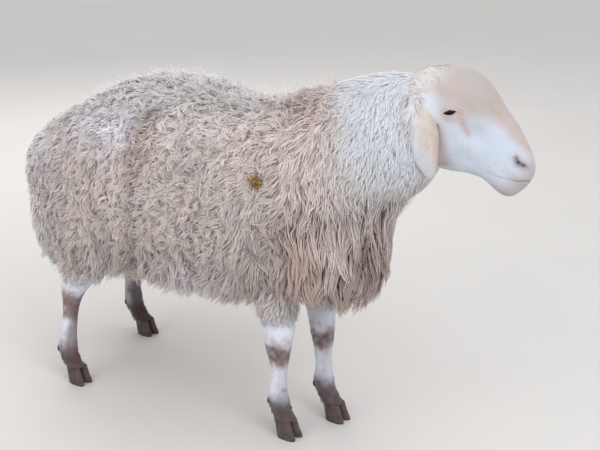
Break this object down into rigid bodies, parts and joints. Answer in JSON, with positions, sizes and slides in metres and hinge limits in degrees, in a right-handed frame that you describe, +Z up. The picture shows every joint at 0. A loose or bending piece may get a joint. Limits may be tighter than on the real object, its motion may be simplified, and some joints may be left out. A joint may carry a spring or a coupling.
{
  "type": "woolly fat-tailed sheep",
  "caption": "Standing fat-tailed ewe in matted white fleece, lop ears, Roman nose, head turned left; a still life-size animal model.",
  "frame": {"origin": "centre of the bounding box in plan, on the floor under the soles", "axes": "+X is the sheep's left, -Y the way its body faces, +Z up"},
  "size_m": [0.4378, 1.238, 0.8378],
  "materials": {
    "wool": "matt matted fleece, beige grey",
    "face_hair": "short white hair with tan stain",
    "leg_hair": "short white hair, brown at knees and feet",
    "horn": "dull dark hoof horn",
    "eye": "wet, dark"
  },
  "bodies": {
    "root": {"ear_left": "face_hair", "ear_right": "face_hair", "eye_left": "eye", "eye_right": "eye", "fore_left_cannon": "leg_hair", "fore_left_claw_left": "horn", "fore_left_claw_right": "horn", "fore_left_dewclaw_left": "horn", "fore_left_dewclaw_right": "horn", "fore_left_pastern": "leg_hair", "fore_left_upper": "leg_hair", "fore_right_cannon": "leg_hair", "fore_right_claw_left": "horn", "fore_right_claw_right": "horn", "fore_right_dewclaw_left": "horn", "fore_right_dewclaw_right": "horn", "fore_right_pastern": "leg_hair", "fore_right_upper": "leg_hair", "head": "face_hair", "hind_left_cannon": "leg_hair", "hind_left_claw_left": "horn", "hind_left_claw_right": "horn", "hind_left_dewclaw_left": "horn", "hind_left_dewclaw_right": "horn", "hind_left_pastern": "leg_hair", "hind_left_thigh": "wool", "hind_left_upper": "leg_hair", "hind_right_cannon": "leg_hair", "hind_right_claw_left": "horn", "hind_right_claw_right": "horn", "hind_right_dewclaw_left": "horn", "hind_right_dewclaw_right": "horn", "hind_right_pastern": "leg_hair", "hind_right_thigh": "wool", "hind_right_upper": "leg_hair", "lower_jaw": "face_hair", "neck": "wool", "tail": "wool", "trunk": "wool"}
  },
  "joints": []
}
